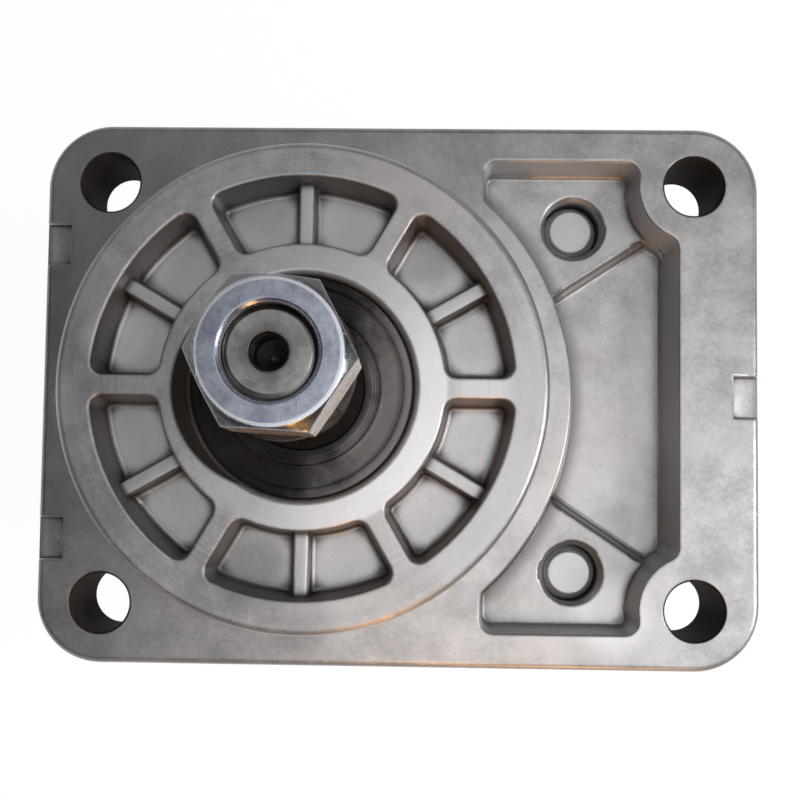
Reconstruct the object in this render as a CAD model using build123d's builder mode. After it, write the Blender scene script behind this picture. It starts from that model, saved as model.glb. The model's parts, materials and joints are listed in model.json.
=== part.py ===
from build123d import *
import math
import os

os.makedirs("parts", exist_ok=True)

# Frame: z = 0 is the mounting face of the flange, the z axis is the drive shaft's
# axis and points out of its end, and the driven gear lies in +X.

# Mounting flange and pilot of the front cover
flange_thickness = 12.0
flange_corner = 11.0
flange_edge_break = 0.8
mount_spacing_x = 100.0
mount_spacing_y = 72.0
mount_edge_x = 11.0
mount_edge_y = 10.2
mount_hole_d = 10.0
mount_hole_break = 0.3
axis_to_mount_column = 34.5
pilot_d = 80.0
pilot_height = 8.0
pilot_chamfer = 0.8
flange_inset = 1.2
inset_length = 7.0
inset_width = 4.3
side_inset_y = 25.2

# Cast pockets in the pilot face
pocket_count = 6
pocket_outer_d = 68.6
pocket_inner_d = 46.4
pocket_depth = 6.0
spoke_width = 3.3
pocket_corner = 2.0
pocket_rib_width = 2.4
pocket_rib_height = 3.0
casting_draft = 8.0

# Cast recess beside the pilot
recess_ring_d = 89.6
recess_left_x = 29.6
recess_wall_x = 13.6
recess_wall_y = 6.0
recess_corner = 2.4
mount_boss_d = 18.8
pad_depth = 5.5
recess_floor_drop = 2.0
floor_corner = 2.0
pad_step_y = 17.65
pad_step_angle = 33.5
pad_step_overlap = 3.0

# Gears
gear_teeth = 12
gear_pressure_angle = 20.0
gear_profile_shift = 0.22
gear_centres = 31.0
gear_width = 22.0
gear_flank_play = 0.10
gear_root_fillet = 0.5
gear_tip_play = 0.08
gear_side_play = 0.05

# Shafts
journal_d = 20.0
journal_play = 0.05
journal_chamfer = 0.8
shaft_end_gap = 1.0
taper_start_z = 9.5
taper_start_d = 17.0
taper_ratio = 5.0
thread_start_z = 27.5
thread_d = 12.0
thread_play = 0.05
shaft_end_z = 39.4
thread_chamfer = 0.8
centre_hole_d = 4.7
centre_hole_break = 0.25
centre_hole_depth = 4.5
centre_point_depth = 1.4
key_width = 3.0
key_disc_d = 13.0
key_height = 5.0
key_stand_out = 1.6
key_play = 0.02
key_angle = 135.0

# Nut and spring washer on the shaft end
nut_flats = 19.0
nut_height = 10.0
nut_face_d = 18.5
nut_bore_chamfer = 0.45
nut_turn = -3.0
nut_chamfer_angle = 40.0
lock_washer_height = 2.5
lock_washer_d = 20.4
lock_washer_gap = 1.6
lock_washer_play = 0.15
lock_washer_turn = -42.0

# Shaft seal in the front cover
seal_d = 36.0
seal_height = 7.0
seal_sink = 0.6
seal_bore_bevel = 0.8
seal_fit = 0.02
seal_lip_gap = 0.15
seal_face_thickness = 2.2
seal_skirt_thickness = 2.6
seal_case_thickness = 0.8
spring_wire_d = 1.6
spring_sides = 8
shaft_bore_d = 22.0

# Bearing blocks and bushes
block_length = 20.0
block_play = 0.05
block_end_play = 0.05
block_relief_depth = 1.5
block_relief_width = 6.0
block_relief_reach = 4.0
block_flat_y = 13.5
bush_wall = 1.5
bush_length = 17.0
bush_fit = 0.02
bush_chamfer = 0.4
bush_inset = 0.5

# Three-shaped axial seals on the outer ends of the blocks
zone_seal_width = 1.8
zone_backup_width = 1.2
zone_seal_height = 2.0
zone_seal_fit = 0.02
zone_seal_sweep = 200.0

# Pump body, rear cover and their joints
body_wall = 11.9
bolt_spacing = 61.0
bolt_boss_r = 10.5
body_neck_fillet = 3.0
cover_pad_thickness = 6.0
rear_cover_thickness = 15.5
rear_cover_edge = 1.5
body_seal_wall = 1.8
body_seal_width = 2.0
body_seal_height = 1.6
body_seal_fit = 0.02

# Ports
suction_port_d = 20.0
suction_passage_d = 15.0
suction_bolt_circle = 40.0
pressure_port_d = 15.0
pressure_passage_d = 11.0
pressure_bolt_circle = 35.0
port_floor = 2.0
port_thread_d = 6.0
port_thread_depth = 13.0
port_edge_break = 0.5

# Body bolts, washers and centring sleeves
bolt_d = 10.0
bolt_clearance_d = 10.8
bolt_thread_play = 0.05
bolt_length = 90.0
bolt_end_d = 7.4
bolt_head_flats = 16.0
bolt_head_height = 6.4
bolt_countersink_d = 11.9
bolt_blind_gap = 1.5
washer_d = 20.0
washer_thickness = 2.0
sleeve_d = 13.0
sleeve_length = 9.0
sleeve_fit = 0.02

# Places that follow from the sizes
flange_width = mount_spacing_x + 2 * mount_edge_x
flange_height = mount_spacing_y + 2 * mount_edge_y
flange_x = mount_spacing_x / 2 - axis_to_mount_column
recess_right_x = flange_x + flange_width / 2 - recess_wall_x
recess_height = flange_height - 2 * recess_wall_y
gear_mid_x = gear_centres / 2
flange_back_z = -flange_thickness
joint_z = flange_back_z - cover_pad_thickness
front_block_z = joint_z - block_end_play
gear_top_z = front_block_z - block_length - gear_side_play
gear_bottom_z = gear_top_z - gear_width
gear_mid_z = (gear_top_z + gear_bottom_z) / 2
rear_block_z = gear_bottom_z - gear_side_play
rear_joint_z = rear_block_z - block_length - block_end_play
body_length = joint_z - rear_joint_z
rear_face_z = rear_joint_z - rear_cover_thickness
bolt_seat_z = rear_face_z - washer_thickness
bolt_tip_z = bolt_seat_z + bolt_length
seal_seat_z = pilot_height - seal_sink - seal_height
seal_face_z = pilot_height - seal_sink
gear_axes = [(0, 0), (gear_centres, 0)]
bolt_grid = [(gear_mid_x + sx * bolt_spacing / 2, sy * bolt_spacing / 2) for sx in (-1, 1) for sy in (-1, 1)]
open_bolts = [(x, y) for x, y in bolt_grid if x > gear_mid_x]
blind_bolts = [(x, y) for x, y in bolt_grid if x < gear_mid_x]
sleeve_bolts = [bolt_grid[1], bolt_grid[2]]
mount_grid = [(flange_x + sx * mount_spacing_x / 2, sy * mount_spacing_y / 2) for sx in (-1, 1) for sy in (-1, 1)]
right_mounts = [(x, y) for x, y in mount_grid if x > flange_x]
block_face_y = bolt_spacing / 2 + bolt_boss_r

# Involute geometry: the centre distance and the profile shift set the module
pressure = math.radians(gear_pressure_angle)


def involute(angle):
    return math.tan(angle) - angle


working = pressure
for _ in range(20):
    error = involute(working) - involute(pressure) - 2 * gear_profile_shift * math.tan(pressure) / gear_teeth
    working -= error / math.tan(working) ** 2
base_r = gear_centres * math.cos(working) / 2
pitch_r = base_r / math.cos(pressure)
gear_module = 2 * pitch_r / gear_teeth
tip_r = pitch_r + gear_module * (1 + gear_profile_shift)
root_r = pitch_r - gear_module * (1.25 - gear_profile_shift)
pitch_tooth = gear_module * (math.pi / 2 + 2 * gear_profile_shift * math.tan(pressure)) - gear_flank_play
base_half_angle = pitch_tooth / (2 * pitch_r) + involute(pressure)
gear_bore_r = tip_r + gear_tip_play
block_r = gear_bore_r - block_play
bush_r = journal_d / 2 + journal_play + bush_wall
lobe_r = gear_bore_r + body_wall


def flank_point(radius, side):
    half = base_half_angle - involute(math.acos(min(1.0, base_r / radius)))
    return (radius * math.cos(half), side * radius * math.sin(half))


flank_radii = [base_r + (tip_r - base_r) * (i / 4) ** 1.5 for i in range(5)]

# One gear in its own frame, with a tooth on +X
with BuildSketch() as gear_outline:
    Circle(root_r)
    with BuildSketch(mode=Mode.PRIVATE) as tooth:
        with BuildLine():
            foot = (root_r * 0.9 * math.cos(base_half_angle), root_r * 0.9 * math.sin(base_half_angle))
            upper = Spline(*[flank_point(r, 1) for r in flank_radii])
            ThreePointArc(flank_point(tip_r, 1), (tip_r, 0), flank_point(tip_r, -1))
            Spline(*[flank_point(r, -1) for r in flank_radii])
            Line(flank_point(base_r, 1), foot)
            Line(foot, (foot[0], -foot[1]))
            Line((foot[0], -foot[1]), flank_point(base_r, -1))
        make_face()
    with PolarLocations(0, gear_teeth):
        add(tooth.sketch)
    roots = gear_outline.vertices().filter_by(lambda v: abs(math.hypot(v.X, v.Y) - root_r) < 0.01)
    fillet(roots, gear_root_fillet)

# Outline that the cover pad, the body and the rear cover share
with BuildSketch() as body_outline:
    with Locations((gear_mid_x, 0)):
        RectangleRounded(bolt_spacing + 2 * bolt_boss_r, 2 * block_face_y, bolt_boss_r)
    with Locations(*gear_axes):
        Circle(lobe_r)
    necks = body_outline.vertices().filter_by(lambda v: abs(v.X - gear_mid_x) > block_face_y - 0.01)
    fillet(necks.filter_by(lambda v: abs(v.Y) < bolt_spacing / 2 - 0.01), body_neck_fillet)

# Figure-eight of the gear chamber
with BuildSketch() as chamber_outline:
    with Locations(*gear_axes):
        Circle(gear_bore_r)


def recess_profile(inset):
    with Locations(((recess_left_x + recess_right_x) / 2, 0)):
        Rectangle(recess_right_x - recess_left_x - 2 * inset, recess_height - 2 * inset)
    Circle(recess_ring_d / 2 + inset, mode=Mode.SUBTRACT)
    with Locations(*right_mounts):
        Circle(mount_boss_d / 2 + inset, mode=Mode.SUBTRACT)


# Front cover
with BuildPart() as front_cover:
    with BuildSketch(Plane.XY):
        with Locations((flange_x, 0)):
            RectangleRounded(flange_width, flange_height, flange_corner)
    extrude(amount=-flange_thickness)
    chamfer(front_cover.faces().sort_by(Axis.Z)[-1].edges(), flange_edge_break)
    with BuildSketch(Plane.XY):
        Circle(pilot_d / 2)
    extrude(amount=pilot_height)
    chamfer(front_cover.faces().sort_by(Axis.Z)[-1].edges(), pilot_chamfer)
    with BuildSketch(Plane.XY.offset(flange_back_z)):
        add(body_outline.sketch)
    extrude(amount=-cover_pad_thickness)

    # six pockets between hub and rim, each with a low rib on its middle
    with BuildSketch(Plane.XY.offset(pilot_height)) as pockets:
        Circle(pocket_outer_d / 2)
        Circle(pocket_inner_d / 2, mode=Mode.SUBTRACT)
        with PolarLocations(pocket_outer_d / 4, pocket_count):
            Rectangle(pocket_outer_d / 2, spoke_width, mode=Mode.SUBTRACT)
        fillet(pockets.vertices(), pocket_corner)
    extrude(amount=-pocket_depth, taper=casting_draft, mode=Mode.SUBTRACT)
    rib_r = (pocket_outer_d + pocket_inner_d) / 4
    with BuildSketch(Plane.XY.offset(pilot_height - pocket_depth)):
        with PolarLocations(rib_r, pocket_count, start_angle=180 / pocket_count):
            Rectangle((pocket_outer_d - pocket_inner_d) / 2, pocket_rib_width + 0.6)
    extrude(amount=pocket_rib_height, taper=casting_draft / 2)

    # recess beside the pilot: bolt pads with a deeper floor between them
    with BuildSketch(Plane.XY) as recess:
        recess_profile(0)
        fillet(recess.vertices(), recess_corner)
    extrude(amount=-pad_depth, taper=casting_draft, mode=Mode.SUBTRACT)
    step_slope = math.tan(math.radians(pad_step_angle))
    step_x = math.sqrt((recess_ring_d / 2) ** 2 - pad_step_y**2)
    inner_y = pad_step_y - pad_step_overlap * step_slope
    outer_y = pad_step_y + (recess_right_x - step_x) * step_slope
    with BuildSketch(Plane.XY.offset(-pad_depth)) as deep_floor:
        recess_profile(pad_depth * math.tan(math.radians(casting_draft)))
        with BuildLine():
            Polyline(
                (0, inner_y),
                (step_x - pad_step_overlap, inner_y),
                (recess_right_x, outer_y),
                (recess_right_x, -outer_y),
                (step_x - pad_step_overlap, -inner_y),
                (0, -inner_y),
                close=True,
            )
        make_face(mode=Mode.INTERSECT)
        fillet(deep_floor.vertices(), floor_corner)
    extrude(amount=-recess_floor_drop, taper=casting_draft, mode=Mode.SUBTRACT)

    # small cast insets on the flange edge
    with BuildSketch(Plane.XY):
        with Locations(
            (flange_x - flange_width / 2, side_inset_y),
            (flange_x - flange_width / 2, -side_inset_y),
            (flange_x + flange_width / 2, 0),
        ):
            Rectangle(2 * inset_width, inset_length)
    extrude(amount=-flange_inset, mode=Mode.SUBTRACT)

    # seal bore with a bevelled rim, and the shaft bore behind it
    with BuildSketch(Plane.XZ):
        with BuildLine():
            Polyline(
                (0, pilot_height),
                (seal_d / 2 + seal_bore_bevel, pilot_height),
                (seal_d / 2, pilot_height - seal_bore_bevel),
                (seal_d / 2, seal_seat_z),
                (shaft_bore_d / 2, seal_seat_z),
                (shaft_bore_d / 2, joint_z),
                (0, joint_z),
                close=True,
            )
        make_face()
    revolve(axis=Axis.Z, mode=Mode.SUBTRACT)

    # mounting holes
    with Locations(*[Location((x, y, 0)) for x, y in mount_grid]):
        CounterSinkHole(mount_hole_d / 2, mount_hole_d / 2 + mount_hole_break, flange_thickness, 90)

    # body bolt threads: open on the pads, blind under the pilot
    tapped_r = bolt_d / 2 + bolt_thread_play
    with Locations(*[Location((x, y, -pad_depth)) for x, y in open_bolts]):
        CounterSinkHole(tapped_r, bolt_countersink_d / 2, -pad_depth - joint_z, 90)
    with BuildSketch(Plane.XY.offset(joint_z)):
        with Locations(*blind_bolts):
            Circle(tapped_r)
    extrude(amount=bolt_tip_z + bolt_blind_gap - joint_z, mode=Mode.SUBTRACT)
    with BuildSketch(Plane.XY.offset(joint_z)):
        with Locations(*sleeve_bolts):
            Circle(sleeve_d / 2 + sleeve_fit)
    extrude(amount=(sleeve_length + bolt_blind_gap) / 2, mode=Mode.SUBTRACT)
front_cover.part.label = "front_cover"
export_step(front_cover.part, "parts/front_cover.step")

# Shaft seal: rubber ring with a closed outer face, an inward lip and a steel case
seal_r = seal_d / 2 - seal_fit
lip_r = journal_d / 2 + seal_lip_gap
lip_z = seal_seat_z + 2.4
case_outer_r = seal_r - seal_skirt_thickness / 2
case_top_z = seal_face_z - seal_face_thickness / 2
with BuildPart() as shaft_seal:
    with BuildSketch(Plane.XZ):
        with BuildLine():
            Polyline(
                (seal_r, seal_seat_z),
                (seal_r, seal_face_z - 1.0),
                (seal_r - 1.0, seal_face_z),
                (lip_r + 3.6, seal_face_z),
                (lip_r + 2.6, seal_face_z - 0.5),
                (lip_r + 0.4, seal_face_z - 0.5),
                (lip_r, seal_face_z - 1.2),
                (lip_r + 0.9, seal_face_z - 1.9),
                (lip_r + 0.9, lip_z + 0.9),
                (lip_r, lip_z),
                (lip_r + 0.9, seal_seat_z + 0.5),
                (lip_r + 3.2, seal_seat_z + 0.5),
                (lip_r + 3.2, lip_z + 1.6),
                (case_outer_r - seal_case_thickness, lip_z + 1.6),
                (case_outer_r - seal_case_thickness, seal_seat_z),
                close=True,
            )
        make_face()
        with Locations((lip_r + 2.1, lip_z)):
            RegularPolygon(spring_wire_d / 2 + 2 * seal_fit, spring_sides, mode=Mode.SUBTRACT)
        with BuildLine():
            Polyline(
                (case_outer_r, seal_seat_z + 0.6),
                (case_outer_r, case_top_z),
                (lip_r + 3.2, case_top_z),
                (lip_r + 3.2, case_top_z - seal_case_thickness),
                (case_outer_r - seal_case_thickness, case_top_z - seal_case_thickness),
                (case_outer_r - seal_case_thickness, seal_seat_z + 0.6),
                close=True,
            )
        make_face(mode=Mode.SUBTRACT)
    revolve(axis=Axis.Z)
shaft_seal.part.label = "shaft_seal"
export_step(shaft_seal.part, "parts/shaft_seal.step")

# Garter spring that presses the lip on the shaft
with BuildPart() as seal_spring:
    with BuildSketch(Plane.XZ):
        with Locations((lip_r + 2.1, lip_z)):
            RegularPolygon(spring_wire_d / 2, spring_sides)
    revolve(axis=Axis.Z)
seal_spring.part.label = "seal_spring"
export_step(seal_spring.part, "parts/seal_spring.step")

# Steel case bonded into the seal's rubber
with BuildPart() as seal_case:
    with BuildSketch(Plane.XZ):
        with BuildLine():
            Polyline(
                (case_outer_r - seal_fit, seal_seat_z + 0.6 + seal_fit),
                (case_outer_r - seal_fit, case_top_z - seal_fit),
                (lip_r + 3.2 + seal_fit, case_top_z - seal_fit),
                (lip_r + 3.2 + seal_fit, case_top_z - seal_case_thickness + seal_fit),
                (case_outer_r - seal_case_thickness + seal_fit, case_top_z - seal_case_thickness + seal_fit),
                (case_outer_r - seal_case_thickness + seal_fit, seal_seat_z + 0.6 + seal_fit),
                close=True,
            )
        make_face()
    revolve(axis=Axis.Z)
seal_case.part.label = "seal_case"
export_step(seal_case.part, "parts/seal_case.step")

# Drive gear, one piece with its journals, taper and thread
journal_r = journal_d / 2
taper_end_d = taper_start_d - (thread_start_z - taper_start_z) / taper_ratio
taper_mid_z = (taper_start_z + thread_start_z) / 2
taper_mid_r = (taper_start_d + taper_end_d) / 4
key_out_r = taper_mid_r + key_stand_out
key_plane = Plane(
    origin=(0, 0, taper_mid_z),
    x_dir=(math.cos(math.radians(key_angle)), math.sin(math.radians(key_angle)), 0),
    z_dir=(math.sin(math.radians(key_angle)), -math.cos(math.radians(key_angle)), 0),
)
key_disc_x = key_out_r - key_height + key_disc_d / 2
with BuildPart() as drive_gear:
    with BuildSketch(Plane.XY.offset(gear_bottom_z)):
        add(gear_outline.sketch)
    extrude(amount=gear_width)
    with BuildSketch(Plane.XZ):
        with BuildLine():
            Polyline(
                (0, rear_joint_z + shaft_end_gap),
                (journal_r - journal_chamfer, rear_joint_z + shaft_end_gap),
                (journal_r, rear_joint_z + shaft_end_gap + journal_chamfer),
                (journal_r, taper_start_z - journal_chamfer),
                (taper_start_d / 2, taper_start_z),
                (taper_end_d / 2, thread_start_z),
                (thread_d / 2, thread_start_z),
                (thread_d / 2, shaft_end_z - thread_chamfer),
                (thread_d / 2 - thread_chamfer, shaft_end_z),
                (0, shaft_end_z),
                close=True,
            )
        make_face()
    revolve(axis=Axis.Z)
    with BuildSketch(key_plane):
        with Locations((key_disc_x, 0)):
            Circle(key_disc_d / 2 + key_play)
    extrude(amount=key_width / 2 + key_play, both=True, mode=Mode.SUBTRACT)
    with BuildSketch(Plane.XZ):
        with BuildLine():
            Polyline(
                (0, shaft_end_z),
                (centre_hole_d / 2 + centre_hole_break, shaft_end_z),
                (centre_hole_d / 2, shaft_end_z - centre_hole_break),
                (centre_hole_d / 2, shaft_end_z - centre_hole_depth),
                (0, shaft_end_z - centre_hole_depth - centre_point_depth),
                close=True,
            )
        make_face()
    revolve(axis=Axis.Z, mode=Mode.SUBTRACT)
drive_gear.part.label = "drive_gear"
export_step(drive_gear.part, "parts/drive_gear.step")

# Driven gear with its two journals
with BuildPart() as driven_gear:
    with BuildSketch(Plane.XY.offset(gear_bottom_z)):
        with Locations(Location((gear_centres, 0), 180 / gear_teeth)):
            add(gear_outline.sketch)
    extrude(amount=gear_width)
    with BuildSketch(Plane.XZ):
        with BuildLine():
            Polyline(
                (gear_centres, rear_joint_z + shaft_end_gap),
                (gear_centres + journal_r - journal_chamfer, rear_joint_z + shaft_end_gap),
                (gear_centres + journal_r, rear_joint_z + shaft_end_gap + journal_chamfer),
                (gear_centres + journal_r, joint_z - shaft_end_gap - journal_chamfer),
                (gear_centres + journal_r - journal_chamfer, joint_z - shaft_end_gap),
                (gear_centres, joint_z - shaft_end_gap),
                close=True,
            )
        make_face()
    revolve(axis=Axis((gear_centres, 0, 0), (0, 0, 1)))
driven_gear.part.label = "driven_gear"
export_step(driven_gear.part, "parts/driven_gear.step")

# Woodruff key: a slice of a disc, flat on top
with BuildPart() as woodruff_key:
    with BuildSketch(key_plane):
        with Locations((key_disc_x, 0)):
            Circle(key_disc_d / 2)
        with Locations((key_out_r, 0)):
            Rectangle(key_disc_d, key_disc_d, align=(Align.MIN, Align.CENTER), mode=Mode.SUBTRACT)
    extrude(amount=key_width / 2, both=True)
woodruff_key.part.label = "woodruff_key"
export_step(woodruff_key.part, "parts/woodruff_key.step")

# Split spring washer on the shoulder of the taper
with BuildPart() as spring_washer:
    with BuildSketch(Plane.XY.offset(thread_start_z)):
        Circle(lock_washer_d / 2)
        Circle(thread_d / 2 + lock_washer_play, mode=Mode.SUBTRACT)
        with Locations(Location((0, 0), lock_washer_turn)):
            with Locations(Location((lock_washer_d / 2, 0), 20)):
                Rectangle(lock_washer_d * 0.8, lock_washer_gap, mode=Mode.SUBTRACT)
    extrude(amount=lock_washer_height)
spring_washer.part.label = "spring_washer"
export_step(spring_washer.part, "parts/spring_washer.step")

# Hexagon nut, both faces turned to a chamfer circle
nut_bottom_z = thread_start_z + lock_washer_height
nut_top_z = nut_bottom_z + nut_height
nut_corner_r = nut_flats / math.sqrt(3)
nut_drop = (nut_corner_r - nut_face_d / 2) * math.tan(math.radians(nut_chamfer_angle))
nut_bore_r = thread_d / 2 + thread_play
with BuildPart() as shaft_nut:
    with BuildSketch(Plane.XY.offset(nut_bottom_z)):
        RegularPolygon(nut_corner_r, 6, rotation=nut_turn)
    extrude(amount=nut_height)
    with BuildSketch(Plane.XZ):
        with BuildLine():
            Polyline(
                (nut_bore_r + nut_bore_chamfer, nut_bottom_z),
                (nut_face_d / 2, nut_bottom_z),
                (nut_corner_r, nut_bottom_z + nut_drop),
                (nut_corner_r, nut_top_z - nut_drop),
                (nut_face_d / 2, nut_top_z),
                (nut_bore_r + nut_bore_chamfer, nut_top_z),
                (nut_bore_r, nut_top_z - nut_bore_chamfer),
                (nut_bore_r, nut_bottom_z + nut_bore_chamfer),
                close=True,
            )
        make_face()
    revolve(axis=Axis.Z, mode=Mode.INTERSECT)
shaft_nut.part.label = "shaft_nut"
export_step(shaft_nut.part, "parts/shaft_nut.step")

# Three-shaped seal track on the pressure side of both journals, a band of the block's wall
zone_mean_r = (bush_r + block_r) / 2
zone_outer_r = zone_mean_r + (zone_seal_width + zone_backup_width) / 2
zone_split_r = zone_outer_r - zone_seal_width
zone_inner_r = zone_split_r - zone_backup_width


def zone_profile(inner_r, outer_r):
    for axis_x, start in ((0, 0), (gear_centres, 180 - zone_seal_sweep)):
        with BuildSketch(mode=Mode.PRIVATE) as band:
            with BuildLine():
                outer = CenterArc((axis_x, 0), outer_r, start, zone_seal_sweep)
                inner = CenterArc((axis_x, 0), inner_r, start, zone_seal_sweep)
                Line(outer @ 0, inner @ 0)
                Line(outer @ 1, inner @ 1)
            make_face()
        add(band.sketch)


with BuildSketch() as zone_groove:
    zone_profile(zone_inner_r - zone_seal_fit, zone_outer_r + zone_seal_fit)
with BuildSketch() as zone_seal:
    zone_profile(zone_split_r, zone_outer_r)
with BuildSketch() as zone_backup:
    zone_profile(zone_inner_r, zone_split_r - zone_seal_fit)

# Outline of the bearing blocks, with a flat on the suction side
with BuildSketch() as block_outline:
    with Locations(*gear_axes):
        Circle(block_r)
    with Locations((gear_mid_x, -block_flat_y)):
        Rectangle(4 * block_r, block_r, align=(Align.CENTER, Align.MAX), mode=Mode.SUBTRACT)
    with Locations(*gear_axes):
        Circle(bush_r + bush_fit, mode=Mode.SUBTRACT)

# Relief pockets beside the mesh
with BuildSketch() as block_relief:
    with Locations((gear_mid_x, block_relief_reach)):
        Rectangle(block_relief_width, block_r, align=(Align.CENTER, Align.MIN))
    with Locations((gear_mid_x, -block_relief_reach)):
        Rectangle(block_relief_width, block_r, align=(Align.CENTER, Align.MAX))

with BuildPart() as front_block:
    with BuildSketch(Plane.XY.offset(front_block_z)):
        add(block_outline.sketch)
    extrude(amount=-block_length)
    with BuildSketch(Plane.XY.offset(front_block_z)):
        add(zone_groove.sketch)
    extrude(amount=-zone_seal_height, mode=Mode.SUBTRACT)
    with BuildSketch(Plane.XY.offset(front_block_z - block_length)):
        add(block_relief.sketch)
    extrude(amount=block_relief_depth, mode=Mode.SUBTRACT)
front_block.part.label = "front_block"
export_step(front_block.part, "parts/front_block.step")

with BuildPart() as rear_block:
    with BuildSketch(Plane.XY.offset(rear_block_z)):
        add(block_outline.sketch)
    extrude(amount=-block_length)
    with BuildSketch(Plane.XY.offset(rear_block_z - block_length)):
        add(zone_groove.sketch)
    extrude(amount=zone_seal_height, mode=Mode.SUBTRACT)
    with BuildSketch(Plane.XY.offset(rear_block_z)):
        add(block_relief.sketch)
    extrude(amount=-block_relief_depth, mode=Mode.SUBTRACT)
rear_block.part.label = "rear_block"
export_step(rear_block.part, "parts/rear_block.step")

# Axial seals and their backups, squeezed against the covers
with BuildPart() as front_zone_seal:
    with BuildSketch(Plane.XY.offset(front_block_z - zone_seal_height)):
        add(zone_seal.sketch)
    extrude(amount=zone_seal_height + block_end_play)
front_zone_seal.part.label = "front_zone_seal"
export_step(front_zone_seal.part, "parts/front_zone_seal.step")

with BuildPart() as front_zone_backup:
    with BuildSketch(Plane.XY.offset(front_block_z - zone_seal_height)):
        add(zone_backup.sketch)
    extrude(amount=zone_seal_height)
front_zone_backup.part.label = "front_zone_backup"
export_step(front_zone_backup.part, "parts/front_zone_backup.step")

with BuildPart() as rear_zone_seal:
    with BuildSketch(Plane.XY.offset(rear_joint_z)):
        add(zone_seal.sketch)
    extrude(amount=zone_seal_height + block_end_play)
rear_zone_seal.part.label = "rear_zone_seal"
export_step(rear_zone_seal.part, "parts/rear_zone_seal.step")

with BuildPart() as rear_zone_backup:
    with BuildSketch(Plane.XY.offset(rear_joint_z + block_end_play)):
        add(zone_backup.sketch)
    extrude(amount=zone_seal_height)
rear_zone_backup.part.label = "rear_zone_backup"
export_step(rear_zone_backup.part, "parts/rear_zone_backup.step")


# Wrapped bushes, one for each journal
front_bush_z = front_block_z - block_length + bush_inset
rear_bush_z = rear_block_z - bush_inset - bush_length
for bush_name, axis_x, low_z in (
    ("front_drive_bush", 0, front_bush_z),
    ("front_driven_bush", gear_centres, front_bush_z),
    ("rear_drive_bush", 0, rear_bush_z),
    ("rear_driven_bush", gear_centres, rear_bush_z),
):
    with BuildPart() as bush:
        with BuildSketch(Plane.XY.offset(low_z)):
            with Locations((axis_x, 0)):
                Circle(bush_r)
                Circle(journal_d / 2 + journal_play, mode=Mode.SUBTRACT)
        extrude(amount=bush_length)
        outer_edges = bush.faces().filter_by(GeomType.CYLINDER).sort_by(SortBy.AREA)[-1].edges()
        chamfer(outer_edges.filter_by(GeomType.CIRCLE), bush_chamfer)
    bush.part.label = bush_name
    export_step(bush.part, f"parts/{bush_name}.step")

# Racetrack of the seals between the body and the covers
body_seal_inner_r = gear_bore_r + body_seal_wall
with BuildSketch() as body_groove:
    with Locations((gear_mid_x, 0)):
        SlotCenterToCenter(gear_centres, 2 * (body_seal_inner_r + body_seal_width))
        SlotCenterToCenter(gear_centres, 2 * body_seal_inner_r, mode=Mode.SUBTRACT)
with BuildSketch() as body_seal:
    with Locations((gear_mid_x, 0)):
        SlotCenterToCenter(gear_centres, 2 * (body_seal_inner_r + body_seal_width - body_seal_fit))
        SlotCenterToCenter(gear_centres, 2 * (body_seal_inner_r + body_seal_fit), mode=Mode.SUBTRACT)

# Pump body: gear chamber, ports, bolt holes and seal grooves
suction_plane = Plane(origin=(gear_mid_x, -block_face_y, gear_mid_z), x_dir=(1, 0, 0), z_dir=(0, -1, 0))
pressure_plane = Plane(origin=(gear_mid_x, block_face_y, gear_mid_z), x_dir=(1, 0, 0), z_dir=(0, 1, 0))
chamber_cusp_y = math.sqrt(gear_bore_r**2 - gear_mid_x**2)
port_depth = block_face_y - gear_bore_r - port_floor
with BuildPart() as pump_body:
    with BuildSketch(Plane.XY.offset(rear_joint_z)):
        add(body_outline.sketch)
        add(chamber_outline.sketch, mode=Mode.SUBTRACT)
    extrude(amount=body_length)
    for port_plane, port_d, passage_d, bolt_circle in (
        (suction_plane, suction_port_d, suction_passage_d, suction_bolt_circle),
        (pressure_plane, pressure_port_d, pressure_passage_d, pressure_bolt_circle),
    ):
        with Locations(port_plane):
            CounterSinkHole(port_d / 2, port_d / 2 + port_edge_break, port_depth, 90)
            Hole(passage_d / 2, block_face_y - chamber_cusp_y / 2)
            with PolarLocations(bolt_circle / 2, 4, start_angle=45):
                CounterSinkHole(port_thread_d / 2, port_thread_d / 2 + port_edge_break, port_thread_depth, 90)
    with BuildSketch(Plane.XY.offset(rear_joint_z)):
        with Locations(*bolt_grid):
            Circle(bolt_clearance_d / 2)
    extrude(amount=body_length, mode=Mode.SUBTRACT)
    for end_z, inward in ((joint_z, -1), (rear_joint_z, 1)):
        with BuildSketch(Plane.XY.offset(end_z)):
            with Locations(*sleeve_bolts):
                Circle(sleeve_d / 2 + sleeve_fit)
        extrude(amount=inward * (sleeve_length + bolt_blind_gap) / 2, mode=Mode.SUBTRACT)
        with BuildSketch(Plane.XY.offset(end_z)):
            add(body_groove.sketch)
        extrude(amount=inward * body_seal_height, mode=Mode.SUBTRACT)
pump_body.part.label = "pump_body"
export_step(pump_body.part, "parts/pump_body.step")

with BuildPart() as front_body_seal:
    with BuildSketch(Plane.XY.offset(joint_z - body_seal_height)):
        add(body_seal.sketch)
    extrude(amount=body_seal_height)
front_body_seal.part.label = "front_body_seal"
export_step(front_body_seal.part, "parts/front_body_seal.step")

with BuildPart() as rear_body_seal:
    with BuildSketch(Plane.XY.offset(rear_joint_z)):
        add(body_seal.sketch)
    extrude(amount=body_seal_height)
rear_body_seal.part.label = "rear_body_seal"
export_step(rear_body_seal.part, "parts/rear_body_seal.step")

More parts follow.
